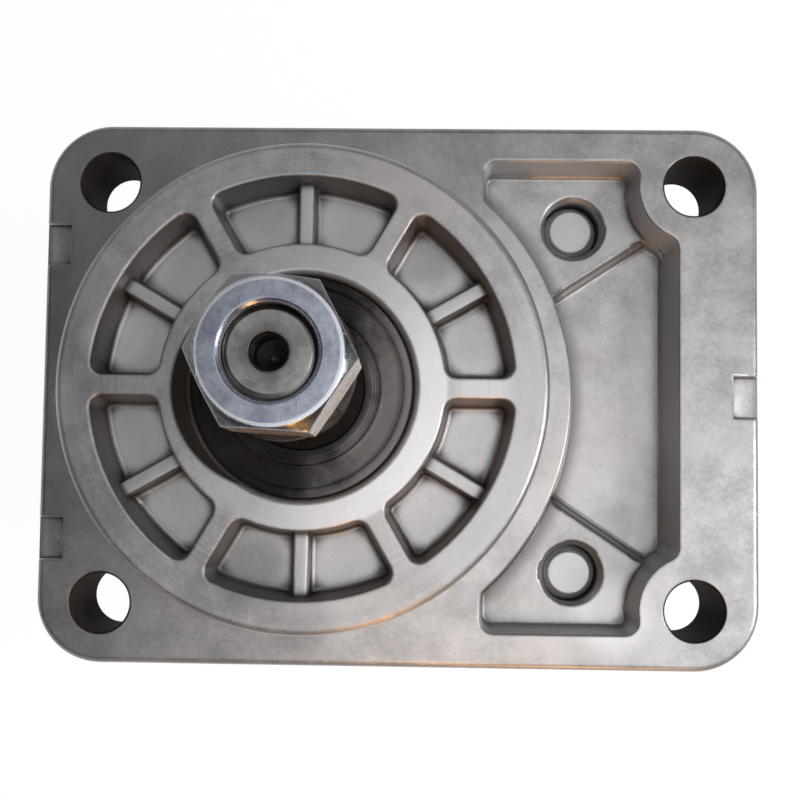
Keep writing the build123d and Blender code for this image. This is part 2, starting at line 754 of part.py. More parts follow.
# Rear cover
with BuildPart() as rear_cover:
    with BuildSketch(Plane.XY.offset(rear_joint_z)):
        add(body_outline.sketch)
    extrude(amount=-rear_cover_thickness)
    chamfer(rear_cover.faces().sort_by(Axis.Z)[0].edges(), rear_cover_edge)
    with BuildSketch(Plane.XY.offset(rear_joint_z)):
        with Locations(*bolt_grid):
            Circle(bolt_clearance_d / 2)
    extrude(amount=-rear_cover_thickness, mode=Mode.SUBTRACT)
    with BuildSketch(Plane.XY.offset(rear_joint_z)):
        with Locations(*sleeve_bolts):
            Circle(sleeve_d / 2 + sleeve_fit)
    extrude(amount=-(sleeve_length + bolt_blind_gap) / 2, mode=Mode.SUBTRACT)
rear_cover.part.label = "rear_cover"
export_step(rear_cover.part, "parts/rear_cover.step")

# Centring sleeves round two of the bolts, across both joints
with BuildPart() as centring_sleeves:
    for middle_z in (joint_z, rear_joint_z):
        with BuildSketch(Plane.XY.offset(middle_z)):
            with Locations(*sleeve_bolts):
                Circle(sleeve_d / 2)
                Circle(bolt_clearance_d / 2, mode=Mode.SUBTRACT)
        extrude(amount=sleeve_length / 2, both=True)
centring_sleeves.part.label = "centring_sleeves"
export_step(centring_sleeves.part, "parts/centring_sleeves.step")

# Body bolts, from the rear cover into the front cover
bolt_chamfer = (bolt_d - bolt_end_d) / 2
with BuildPart() as body_bolts:
    with BuildSketch(Plane.XY.offset(bolt_seat_z)):
        with Locations(*bolt_grid):
            RegularPolygon(bolt_head_flats / math.sqrt(3), 6)
    extrude(amount=-bolt_head_height)
    with BuildSketch(Plane.XY.offset(bolt_seat_z)):
        with Locations(*bolt_grid):
            Circle(bolt_d / 2)
    extrude(amount=bolt_length)
    chamfer(body_bolts.faces().sort_by(Axis.Z)[-4:].edges(), bolt_chamfer)
body_bolts.part.label = "body_bolts"
export_step(body_bolts.part, "parts/body_bolts.step")

with BuildPart() as bolt_washers:
    with BuildSketch(Plane.XY.offset(bolt_seat_z)):
        with Locations(*bolt_grid):
            Circle(washer_d / 2)
            Circle(bolt_clearance_d / 2, mode=Mode.SUBTRACT)
    extrude(amount=washer_thickness)
bolt_washers.part.label = "bolt_washers"
export_step(bolt_washers.part, "parts/bolt_washers.step")
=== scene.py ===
import json
import math

import bmesh
import bpy
from mathutils import Euler, Matrix, Vector


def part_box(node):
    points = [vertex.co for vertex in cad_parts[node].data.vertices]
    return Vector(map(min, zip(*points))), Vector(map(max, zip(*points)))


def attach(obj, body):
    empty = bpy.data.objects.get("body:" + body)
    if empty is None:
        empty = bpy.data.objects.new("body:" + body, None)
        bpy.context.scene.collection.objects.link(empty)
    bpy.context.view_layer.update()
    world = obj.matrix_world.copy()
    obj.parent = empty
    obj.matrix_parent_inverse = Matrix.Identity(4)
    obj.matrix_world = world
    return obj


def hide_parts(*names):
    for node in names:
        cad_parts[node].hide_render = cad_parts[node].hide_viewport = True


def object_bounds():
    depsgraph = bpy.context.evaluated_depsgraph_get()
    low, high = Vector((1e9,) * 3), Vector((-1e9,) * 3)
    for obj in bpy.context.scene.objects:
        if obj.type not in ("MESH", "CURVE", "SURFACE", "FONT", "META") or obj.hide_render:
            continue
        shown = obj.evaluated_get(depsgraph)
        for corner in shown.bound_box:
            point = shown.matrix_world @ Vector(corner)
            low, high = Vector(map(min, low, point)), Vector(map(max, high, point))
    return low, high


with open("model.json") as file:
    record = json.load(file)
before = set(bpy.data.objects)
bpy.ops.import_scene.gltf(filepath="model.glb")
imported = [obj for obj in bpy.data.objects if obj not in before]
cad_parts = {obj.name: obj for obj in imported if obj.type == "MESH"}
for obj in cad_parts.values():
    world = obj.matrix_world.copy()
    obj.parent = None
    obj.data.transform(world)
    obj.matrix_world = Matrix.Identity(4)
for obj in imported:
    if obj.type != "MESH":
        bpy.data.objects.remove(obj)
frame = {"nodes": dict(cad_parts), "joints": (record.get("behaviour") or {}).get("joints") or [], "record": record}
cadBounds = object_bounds()
cadNodes = frame["nodes"]
mm = 0.001

# the four mounting holes
mountPattern = next(mount for mount in frame["record"]["mounts"] if mount["name"] == "mounting_holes")
mountX, mountY = mountPattern["pos_m"][:2]
mountHalfX = mountPattern["dims"]["spacing_x_mm"] * mm / 2
mountHalfY = mountPattern["dims"]["spacing_y_mm"] * mm / 2

# camera over the shaft end
cameraView = {
    "place": (16.65, -17.35, 138.0),  # mm
    "turn": (2.243, 0.867, 0.764),  # degrees
    "lens": 36.76,
    "shift": (0.0108, 0.0801),
    "clipStart": 0.005,
}
cameraData = bpy.data.cameras.new("studioCamera")
cameraData.lens = cameraView["lens"]
cameraData.shift_x, cameraData.shift_y = cameraView["shift"]
cameraData.clip_start = cameraView["clipStart"]
camera = bpy.data.objects.new("studioCamera", cameraData)
camera.location = Vector(cameraView["place"]) * mm
camera.rotation_euler = Euler([math.radians(angle) for angle in cameraView["turn"]])
bpy.context.scene.collection.objects.link(camera)
bpy.context.scene.camera = camera
print("camera set")


def feed(tree, socket, value):
    if isinstance(value, Wire):
        tree.links.new(value.socket, socket)
    else:
        socket.default_value = value


class Wire:  # an output socket that takes part in sums
    def __init__(self, tree, socket):
        self.tree = tree
        self.socket = socket

    def sum(self, operation, *terms):
        made = self.tree.nodes.new("ShaderNodeMath")
        made.operation = operation
        for inlet, term in enumerate(terms):
            feed(self.tree, made.inputs[inlet], term)
        return Wire(self.tree, made.outputs[0])

    def __add__(self, other):
        return self.sum("ADD", self, other)

    def __radd__(self, other):
        return self.sum("ADD", other, self)

    def __sub__(self, other):
        return self.sum("SUBTRACT", self, other)

    def __rsub__(self, other):
        return self.sum("SUBTRACT", other, self)

    def __mul__(self, other):
        return self.sum("MULTIPLY", self, other)

    def __rmul__(self, other):
        return self.sum("MULTIPLY", other, self)

    def __truediv__(self, other):
        return self.sum("DIVIDE", self, other)

    def __rtruediv__(self, other):
        return self.sum("DIVIDE", other, self)

    def __pow__(self, other):
        return self.sum("POWER", self, other)

    def __abs__(self):
        return self.sum("ABSOLUTE", self)

    def fraction(self):
        return self.sum("FRACT", self)

    def atLeast(self, floor):
        return self.sum("MAXIMUM", self, floor)

    def atMost(self, ceiling):
        return self.sum("MINIMUM", self, ceiling)


class NodeTree:  # makes and joins the nodes of a material or a world
    def __init__(self, tree):
        self.tree = tree

    def node(self, kind, settings=None, values=None, outlet=0):
        made = self.tree.nodes.new(kind)
        for name, value in (settings or {}).items():
            setattr(made, name, value)
        for name, value in (values or {}).items():
            feed(self.tree, made.inputs[name], value)
        return Wire(self.tree, made.outputs[outlet])

    def split(self, vector):
        return [self.node("ShaderNodeSeparateXYZ", {}, {0: vector}, axis) for axis in "XYZ"]

    def rise(self, value, low, high):  # 0 below low, 1 above high
        return self.node(
            "ShaderNodeMapRange",
            {"interpolation_type": "SMOOTHSTEP"},
            {"Value": value, "From Min": low, "From Max": high},
        )

    def surface(self, shader):
        feed(self.tree, self.tree.nodes["Material Output"].inputs["Surface"], shader)


class Finish(NodeTree):  # one material and the ways of building it
    def __init__(self, name, metallic):
        self.material = bpy.data.materials.new(name)
        self.material.use_nodes = True
        super().__init__(self.material.node_tree)
        self.shader = self.tree.nodes["Principled BSDF"]
        self.shader.inputs["Metallic"].default_value = metallic
        self.place = self.node("ShaderNodeTexCoord", outlet="Object")
        self.x, self.y, self.z = self.split(self.place)
        self.slopeX, self.slopeY, self.slopeZ = self.split(self.node("ShaderNodeTexCoord", outlet="Normal"))

    def past(self, value, low, high):  # as rise, with its limits in mm
        return self.rise(value, low * mm, high * mm)

    def between(self, value, low, high, edge):
        return self.rise(value, low - edge, low) * (1 - self.rise(value, high, high + edge))

    def point(self, x, y, z):
        return self.node("ShaderNodeCombineXYZ", {}, {"X": x, "Y": y, "Z": z})

    def noise(self, size, detail=3.0, at=None, rough=0.55):  # size of a feature in mm
        return self.node(
            "ShaderNodeTexNoise",
            {},
            {"Vector": at or self.place, "Scale": 1.0 / (size * mm), "Detail": detail, "Roughness": rough},
        )

    def mix(self, share, first, second):
        first = first if isinstance(first, Wire) else (*first, 1.0)
        second = second if isinstance(second, Wire) else (*second, 1.0)
        return self.node("ShaderNodeMix", {"data_type": "RGBA"}, {0: share, 6: first, 7: second}, 2)

    def reach(self, x=0.0, y=0.0):  # distance from an upright axis at x and y in mm
        acrossX = self.x - x * mm
        acrossY = self.y - y * mm
        return (acrossX * acrossX + acrossY * acrossY) ** 0.5

    def corner(self, distance, low, high):  # near 1 in corners tighter than distance in mm
        openness = self.node("ShaderNodeAmbientOcclusion", {"samples": 8}, {"Distance": distance * mm}, "AO")
        return 1 - self.rise(openness, low, high)

    def roundEdges(self, radius):
        return self.node("ShaderNodeBevel", {"samples": 4}, {"Radius": radius * mm})

    def bump(self, height, depth, under):  # depth in mm for a height of 1
        return self.node(
            "ShaderNodeBump", {}, {"Height": height, "Distance": depth * mm, "Strength": 1.0, "Normal": under}
        )

    def cover(self, share, colour, roughness, specular):  # a dull layer over part of the surface, used as painted shade in the mounting holes
        shadeLayer = self.node(
            "ShaderNodeBsdfPrincipled",
            {},
            {"Base Color": (*colour, 1.0), "Roughness": roughness, "Specular IOR Level": specular},
        )
        under = Wire(self.tree, self.shader.outputs[0])
        self.surface(self.node("ShaderNodeMixShader", {}, {0: share, 1: under, 2: shadeLayer}))

    def done(self, colour, roughness, normal):
        feed(self.tree, self.shader.inputs["Base Color"], colour)
        feed(self.tree, self.shader.inputs["Roughness"], roughness)
        feed(self.tree, self.shader.inputs["Normal"], normal)
        return self.material


# cast front cover: lengths in mm, shares from 0 to 1
coverLook = {
    "light": (0.61, 0.60, 0.605),
    "dark": (0.36, 0.355, 0.36),
    "rosy": (0.56, 0.505, 0.495),
    "cool": (0.46, 0.485, 0.52),
    "hub": (0.84, 0.835, 0.84),
    "floor": (0.66, 0.655, 0.66),
    "sideShade": (0.17, 0.165, 0.17),
    "pale": (0.88, 0.88, 0.89),
    "shaded": (0.016, 0.011, 0.007),
    "wall": (0.20, 0.190, 0.19),
    "warmWall": (0.25, 0.195, 0.175),
    "recessWall": (0.60, 0.59, 0.60),
    "grimeAndShade": (0.055, 0.043, 0.038),
    "bore": (0.030, 0.022, 0.019),
    "metallic": 0.80,
    "rough": 0.40,
    "pilotTop": 8.0,
    "hubR": 23.0,
    "pocketR": 39.0,
    "ringR": 44.0,
    "ringFootR": (46.3, 49.2),
    "holeR": (5.15, 5.5),
    "outlineCorner": 11.0,
    "outlineBand": (0.35, 1.15),
    "pocketHeights": (1.0, 5.6),
    "pocketWallFrom": (1.4, 1.8),
    "recessWallFrom": (-8.6, -8.2),
    "recessSideBelow": (-1.2, -0.6),
    "steepSlope": (0.45, 0.92),
    "chamferSlope": (0.60, 0.82),
    "toneRange": (0.34, 0.66),
    "rosyShare": 0.5,
    "coolShare": 0.45,
    "hubShare": (0.06, 0.68),  # everywhere, and as a painted highlight on the lit side
    "hubLitBand": (-6, 16),
    "floorShare": 0.7,
    "sideShadeShare": (0.18, 0.52),  # painted shade on the left: everywhere, and on the flange's face
    "sideShadeBand": (-55, 45),
    "wallShare": 0.9,
    "warmWallBand": (-5, 25),
    "chamferShare": 0.7,
    "outlineShare": 0.55,
    "ringFootShare": 0.8,
    "grimeAndShadeShare": 0.85,
    "boreShare": 0.93,
    "nutShadowSpot": (-4.8, -0.4),  # painted shadow of the nut on the hub, left of the seal
    "nutShadowR": (15.9, 16.7),
    "nutShadowFrom": (1.0, 2.0),
    "nutShadowShare": 0.97,
    "ringPitch": 0.55,
    "ringDepth": 0.010,
    "skinDepth": 0.035,
    "edgeRadius": 0.45,
    "patches": [  # darker and lighter patches: x, y and reach, share, colour; the dark one in the lower-left pocket is painted shade
        (-9, -30, 8, 0.55, "sideShade"), (20, 22, 7, 0.38, "sideShade"), (-9, 30, 7, 0.25, "sideShade"),
        (-31, 8, 6, 0.45, "pale"), (29, 0, 7, 0.40, "pale"), (52, -37, 9, 0.55, "pale"),
        (-39, -3, 6, 0.30, "pale"), (0, -38, 8, 0.30, "sideShade"), (-43, 10, 6, 0.40, "sideShade"),
    ],
}


def coverInset(finish):  # distance from the cover's outline inwards
    corner = coverLook["outlineCorner"] * mm
    size = cadBounds[1] - cadBounds[0]
    overX = (abs(finish.x - mountX) - size.x / 2 + corner).atLeast(0.0)
    overY = (abs(finish.y - mountY) - size.y / 2 + corner).atLeast(0.0)
    return corner - (overX * overX + overY * overY) ** 0.5


def holeReach(finish):  # distance from the nearest mounting hole's axis
    holeX = abs(finish.x - mountX) - mountHalfX
    holeY = abs(finish.y - mountY) - mountHalfY
    return (holeX * holeX + holeY * holeY) ** 0.5


def castAluminium():
    look = coverLook
    finish = Finish("castAluminium", look["metallic"])
    reach = finish.reach()
    rings = finish.noise(look["ringPitch"], 4.0, finish.point(reach, 0.0, 0.0), 0.7)
    blotch = finish.noise(11.0, 4.0)
    cloud = finish.noise(34.0, 2.0)
    bloom = finish.noise(22.0, 3.0)
    skin = finish.noise(0.8, 5.0, rough=0.65)
    smear = finish.noise(4.5, 4.0, rough=0.6)
    pits = finish.noise(2.4, 3.0)

    # where each part of the casting lies
    upright = finish.rise(finish.slopeZ, 0.90, 0.99)
    pilotFace = upright * finish.past(finish.z, look["pilotTop"] - 0.4, look["pilotTop"] - 0.1)
    flangeFace = upright * finish.between(finish.z, -0.1 * mm, 0.1 * mm, 0.2 * mm)
    machined = pilotFace + flangeFace
    hubFace = pilotFace * (1 - finish.past(reach, look["hubR"], look["hubR"] + 1.0))
    pocketLow, pocketHigh = look["pocketHeights"]
    sunk = upright * finish.between(finish.z, pocketLow * mm, pocketHigh * mm, 0.4 * mm)
    outlineBand = 1 - finish.past(coverInset(finish), *look["outlineBand"])
    inHole = 1 - finish.past(holeReach(finish), *look["holeR"])
    steep = 1 - finish.rise(finish.slopeZ, *look["steepSlope"])
    chamfered = finish.between(finish.slopeZ, *look["chamferSlope"], 0.06)
    pocketZone = 1 - finish.past(reach, look["pocketR"], look["pocketR"] + 0.3)
    inPocket = pocketZone * finish.past(finish.z, *look["pocketWallFrom"])
    inRecess = finish.past(reach, look["ringR"], look["ringR"] + 0.3)
    recessWall = inRecess * finish.past(finish.z, *look["recessWallFrom"]) * (1 - outlineBand)
    recessSide = inRecess * (1 - finish.past(finish.z, *look["recessSideBelow"]))
    ringFoot = recessSide * (1 - finish.past(reach, *look["ringFootR"]))
    nutShadow = 1 - finish.past(finish.reach(*look["nutShadowSpot"]), *look["nutShadowR"])
    nutShadow = nutShadow * finish.past(finish.z, *look["nutShadowFrom"])

    # tone and patina, darker and lighter patches, a painted highlight on the hub, painted shade on the left and
    # the nut's painted shadow
    tone = 0.40 * blotch + 0.25 * cloud + 0.35 * smear + (rings - 0.5) * 0.4 * pilotFace + (skin - 0.5) * 0.3
    colour = finish.mix(finish.rise(tone, *look["toneRange"]), look["dark"], look["light"])
    colour = finish.mix(finish.rise(cloud, 0.50, 0.70) * look["rosyShare"], colour, look["rosy"])
    colour = finish.mix(finish.rise(bloom, 0.55, 0.72) * look["coolShare"], colour, look["cool"])
    # painted highlight: the hub lighter towards its right and lower right, where the light falls
    hubLitSide = finish.past(finish.x * 0.9 - finish.y * 0.5, *look["hubLitBand"])
    hubShare, hubLitShare = look["hubShare"]
    colour = finish.mix(hubFace * (hubShare + hubLitShare * hubLitSide), colour, look["hub"])
    colour = finish.mix(sunk * look["floorShare"], colour, look["floor"])
    # painted shade: the casting darker towards the left and top, more on the flange's face, with cloudy noise
    unshaded = finish.past(finish.x - finish.y * 0.6 + (cloud - 0.5) * 30 * mm, *look["sideShadeBand"])
    sideShadeShare, flangeShare = look["sideShadeShare"]
    colour = finish.mix((1 - unshaded) * (sideShadeShare + flangeShare * flangeFace), colour, look["sideShade"])
    # darker and lighter patches, the one in the lower-left pocket painted shade
    for patchX, patchY, patchReach, share, tint in look["patches"]:
        away = finish.reach(patchX, patchY) + (blotch - 0.5) * 6 * mm
        patched = 1 - finish.past(away, 0.3 * patchReach, patchReach)
        colour = finish.mix(patched * share, colour, look[tint])
    # painted shadow: the nut's shadow as a dark crescent on the hub
    colour = finish.mix(nutShadow * look["nutShadowShare"], colour, look["shaded"])

    # walls, corners and holes: painted shade on pocket walls, chamfers, the ring's foot and in the holes, a
    # painted warm reflection on right-hand pocket walls, grime and painted shade in corners, and a darker band
    # along the outline
    # painted shade on the pocket walls, with a painted warm reflection on those to the right
    pocketWall = finish.mix(finish.past(finish.x, *look["warmWallBand"]), look["wall"], look["warmWall"])
    wall = finish.mix(inRecess, pocketWall, look["recessWall"])
    colour = finish.mix(steep * (inPocket + recessWall) * look["wallShare"], colour, wall)
    # painted shade on chamfers outside the pockets
    colour = finish.mix(chamfered * (1 - inPocket) * look["chamferShare"], colour, look["wall"])
    colour = finish.mix(outlineBand * upright * look["outlineShare"], colour, look["wall"])
    # painted shade along the foot of the ring wall in the recess
    colour = finish.mix(ringFoot * look["ringFootShare"], colour, look["wall"])
    # grime and painted shade in corners, and painted shade along the recess's lower walls
    tight = finish.corner(1.3, 0.30, 0.95)
    wide = finish.corner(3.0, 0.42, 0.98)
    corner = tight * (1 - 0.35 * inRecess) + wide * (inPocket * (1 - pilotFace) * 0.9 + recessSide * 0.75)
    cornerGrimeAndShade = finish.rise(corner + (blotch - 0.5) * 0.4, 0.20, 1.0)
    colour = finish.mix(cornerGrimeAndShade * (1 - 0.6 * machined) * look["grimeAndShadeShare"], colour, look["grimeAndShade"])
    # painted shade: dark walls in the mounting holes
    colour = finish.mix(inHole * look["boreShare"], colour, look["bore"])
    finish.cover(inHole * (1 - upright) * 0.92, look["bore"], 0.9, 0.05)

    roughness = look["rough"] - 0.05 * machined - 0.04 * hubFace + cornerGrimeAndShade * 0.25 + nutShadow * 0.3
    roughness = roughness + (skin - 0.5) * 0.2 + (smear - 0.5) * 0.12
    normal = finish.bump(rings * pilotFace, look["ringDepth"], finish.roundEdges(look["edgeRadius"]))
    grain = skin * (1 - 0.75 * machined) + pits * 0.5 + smear * 0.3
    return finish.done(colour, roughness, finish.bump(grain, look["skinDepth"], normal))


# grime and painted shade in corners of the plain and turned metals
metalGrimeAndShade = (0.03, 0.024, 0.02)
turnedGrimeAndShade = (0.02, 0.016, 0.014)


def plainMetal(
    name, light, dark, rough, metallic=1.0, grainSize=0.5, stretch=1.0, depth=0.01, cornerGrimeAndShade=0.4, edge=0.25
):
    finish = Finish(name, metallic)
    grain = finish.noise(grainSize, 4.0, finish.point(finish.x, finish.y, finish.z * stretch), 0.65)
    blotch = finish.noise(9.0, 4.0)
    corner = finish.corner(2.5, 0.3, 0.95)
    colour = finish.mix(finish.rise(0.5 * blotch + 0.5 * grain, 0.2, 0.8), dark, light)
    # grime and painted shade in corners
    colour = finish.mix(corner * cornerGrimeAndShade, colour, metalGrimeAndShade)
    normal = finish.bump(grain, depth, finish.roundEdges(edge))
    return finish.done(colour, rough + (grain - 0.5) * 0.2 + corner * 0.15, normal)


def turnedMarks(finish, reach, ends, endPitch, sidePitch):  # rings on the ends, lines round the sides
    onEnds = finish.noise(endPitch, 4.0, finish.point(reach, 0.0, 0.0), 0.7)
    onSides = finish.noise(sidePitch, 4.0, finish.point(0.0, 0.0, finish.z), 0.7)
    return onEnds * ends + onSides * (1 - ends)


def turnedMetal(name, light, dark, rough, centreX=0.0, pitch=0.3, depth=0.008, edge=0.2):
    finish = Finish(name, 1.0)
    ends = finish.rise(finish.slopeZ * finish.slopeZ, 0.6, 0.9)
    marks = turnedMarks(finish, finish.reach(centreX), ends, pitch, pitch)
    blotch = finish.noise(6.0, 4.0)
    colour = finish.mix(finish.rise(0.5 * blotch + 0.5 * marks, 0.3, 0.7), dark, light)
    # grime and painted shade in corners
    colour = finish.mix(finish.corner(2.0, 0.3, 0.95) * 0.5, colour, turnedGrimeAndShade)
    normal = finish.bump(marks, depth, finish.roundEdges(edge))
    return finish.done(colour, rough + (marks - 0.5) * 0.15, normal)


# zinc-plated nut
nutLook = {
    "plate": (0.285, 0.31, 0.40),
    "worn": (0.51, 0.54, 0.63),
    "dull": (0.19, 0.19, 0.26),
    "warm": (0.45, 0.30, 0.16),
    "flats": (0.82, 0.81, 0.79),
    "corners": (0.10, 0.105, 0.10),
    "brownReflection": (0.22, 0.12, 0.055),
    "rim": (0.86, 0.88, 0.93),
    "grimeAndShade": (0.03, 0.022, 0.02),
    "rimR": (8.85, 9.35),  # mm
    "cornerR": (9.2, 9.5),
    "rough": 0.27,
    "dullShare": 0.7,
    "warmShare": 0.25,
    "scoreShare": 0.4,
    "rimShare": 0.8,
    "cornerShare": 0.9,
    "brownReflectionShare": 0.85,
    "flatMetallic": 0.65,  # taken off the flats
}


def zincPlate(name):
    look = nutLook
    finish = Finish(name, 1.0)
    reach = finish.reach()
    blotch = finish.noise(3.0, 5.0, rough=0.65)
    speckle = finish.noise(0.8, 4.0, rough=0.7)
    scratch = finish.noise(0.35, 3.0, finish.point(finish.x * 0.18, finish.y, finish.z), 0.6)
    cross = finish.noise(0.35, 3.0, finish.point(finish.x, finish.y * 0.15, finish.z), 0.6)
    scores = finish.rise(scratch, 0.60, 0.70) + finish.rise(cross, 0.62, 0.70)
    dullSpots = finish.rise(finish.noise(1.6, 3.0), 0.56, 0.76)
    warmSpots = finish.rise(finish.noise(5.0, 2.0), 0.60, 0.80)
    colour = finish.mix(finish.rise(0.6 * blotch + 0.4 * speckle, 0.35, 0.68), look["plate"], look["worn"])
    colour = finish.mix(dullSpots * look["dullShare"], colour, look["dull"])
    colour = finish.mix(warmSpots * look["warmShare"], colour, look["warm"])
    colour = finish.mix(scores * look["scoreShare"], colour, look["worn"])
    # painted highlight: a bright rim round the nut's face
    rimLow, rimHigh = look["rimR"]
    onRim = finish.between(reach, rimLow * mm, rimHigh * mm, 0.15 * mm) * finish.rise(finish.slopeZ, 0.80, 0.9)
    colour = finish.mix(onRim * look["rimShare"], colour, look["rim"])
    # painted dark reflection on the sloped corners of the chamfer
    sloped = finish.between(finish.slopeZ, 0.60, 0.80, 0.05) * finish.past(reach, *look["cornerR"])
    colour = finish.mix(sloped * look["cornerShare"], colour, look["corners"])
    # painted light: the flats much lighter than the face
    flats = 1 - finish.rise(finish.slopeZ, 0.05, 0.3)
    colour = finish.mix(flats * (0.82 + 0.18 * finish.rise(blotch, 0.3, 0.6)), colour, look["flats"])
    # painted reflection: brown on the flat facing -y
    reflectingFlat = flats * finish.rise(0 - finish.slopeY, 0.7, 0.9)
    colour = finish.mix(reflectingFlat * look["brownReflectionShare"], colour, look["brownReflection"])
    # grime and painted shade in corners
    colour = finish.mix(finish.corner(0.8, 0.3, 0.95) * 0.4, colour, look["grimeAndShade"])
    feed(finish.tree, finish.shader.inputs["Metallic"], 1 - flats * look["flatMetallic"])
    normal = finish.bump(scores + blotch * 0.5, 0.008, finish.roundEdges(0.18))
    return finish.done(colour, look["rough"] + (blotch - 0.5) * 0.2 + scores * 0.08, normal)


# rubber: dust, with painted shade on its left and painted light on its right
rubberLook = {
    "base": (0.030, 0.029, 0.030),
    "dustAndLight": (0.22, 0.205, 0.205),
    "deepShade": (0.008, 0.006, 0.005),
    "litBand": (1, 14),  # mm
    "nutShadowBand": (-10, 0),
    "dustAndLightShare": 0.7,
    "sideShadeShare": 0.8,
    "specular": 0.2,
    "rough": 0.50,
}


def nitrileRubber(name, base=rubberLook["base"], dustAndLight=rubberLook["dustAndLight"], sideShade=0.0):
    look = rubberLook
    finish = Finish(name, 0.0)
    finish.shader.inputs["Specular IOR Level"].default_value = look["specular"]
    fine = finish.noise(0.35, 4.0, rough=0.65)
    blotch = finish.noise(5.0, 4.0)
    corner = finish.corner(1.6, 0.35, 0.95)
    # painted light: more dust colour on the right, where the light falls
    litSide = finish.past(finish.x * 0.9 - finish.y * 0.3 + (blotch - 0.5) * 8 * mm, *look["litBand"])
    dustAndLit = finish.rise(0.6 * blotch + 0.4 * fine + corner * 0.25 + litSide * sideShade * 0.45, 0.45, 0.95)
    colour = finish.mix(dustAndLit * look["dustAndLightShare"], base, dustAndLight)
    # painted shade on the left, in the nut's shadow
    colour = finish.mix((1 - litSide) * sideShade * look["sideShadeShare"], colour, look["deepShade"])
    nutShadow = (1 - finish.past(finish.x, *look["nutShadowBand"])) * sideShade
    normal = finish.bump(fine, 0.02, finish.roundEdges(0.15))
    return finish.done(colour, look["rough"] + dustAndLit * 0.25 + (fine - 0.5) * 0.2 + nutShadow * 0.3, normal)


def naturalPlastic(name):
    finish = Finish(name, 0.0)
    fine = finish.noise(0.6, 4.0)
    blotch = finish.noise(7.0, 3.0)
    colour = finish.mix(finish.rise(blotch, 0.3, 0.7), (0.70, 0.66, 0.56), (0.82, 0.79, 0.70))
    return finish.done(colour, 0.5 + (fine - 0.5) * 0.2, finish.bump(fine, 0.01, finish.roundEdges(0.1)))


# shaft: lengths in mm
shaftLook = {
    "light": (0.48, 0.47, 0.46),
    "dark": (0.20, 0.195, 0.19),
    "face": (0.06, 0.055, 0.05),
    "shade": (0.012, 0.010, 0.009),
    "deepShade": (0.014, 0.012, 0.011),
    "threadFrom": (27.5, 27.9),
    "threadPitch": 1.5,
    "threadDepth": 0.55,
    "faceR": (2.0, 4.6),
    "centreR": (2.3, 2.6),
    "baseShadeTo": (9.6, 12.0),
    "rough": 0.36,
}


def shaftSteel(name):
    look = shaftLook
    finish = Finish(name, 1.0)
    reach = finish.reach()
    ends = finish.rise(finish.slopeZ, 0.6, 0.9)
    marks = turnedMarks(finish, reach, ends, 0.22, 0.25)
    blotch = finish.noise(2.4, 4.0)
    threaded = finish.past(finish.z, *look["threadFrom"])
    around = finish.node("ShaderNodeMath", {"operation": "ARCTAN2"}, {0: finish.y, 1: finish.x})
    turns = finish.z / (look["threadPitch"] * mm) - around / (2 * math.pi)
    groove = abs(turns.fraction() - 0.5) * 2
    colour = finish.mix(finish.rise(0.5 * blotch + 0.5 * marks, 0.3, 0.7), look["dark"], look["light"])
    onFace = threaded * ends * (1 - finish.past(reach, *look["faceR"]))
    colour = finish.mix(onFace * 0.6, colour, look["face"])
    inCentre = threaded * (1 - finish.past(reach, *look["centreR"]))
    colour = finish.mix(inCentre * 0.65, colour, look["shade"])
    colour = finish.mix(finish.corner(0.7, 0.2, 0.9) * 0.5, colour, look["shade"])
    # painted shade at the shaft's base, in the gap between the washer and the seal
    baseShade = 1 - finish.past(finish.z, *look["baseShadeTo"])
    colour = finish.mix(baseShade * 0.97, colour, look["deepShade"])
    normal = finish.bump(groove * threaded * (1 - ends), look["threadDepth"], finish.roundEdges(0.15))
    normal = finish.bump(marks, 0.012, normal)
    return finish.done(colour, look["rough"] + (marks - 0.5) * 0.2 + baseShade * 0.45, normal)


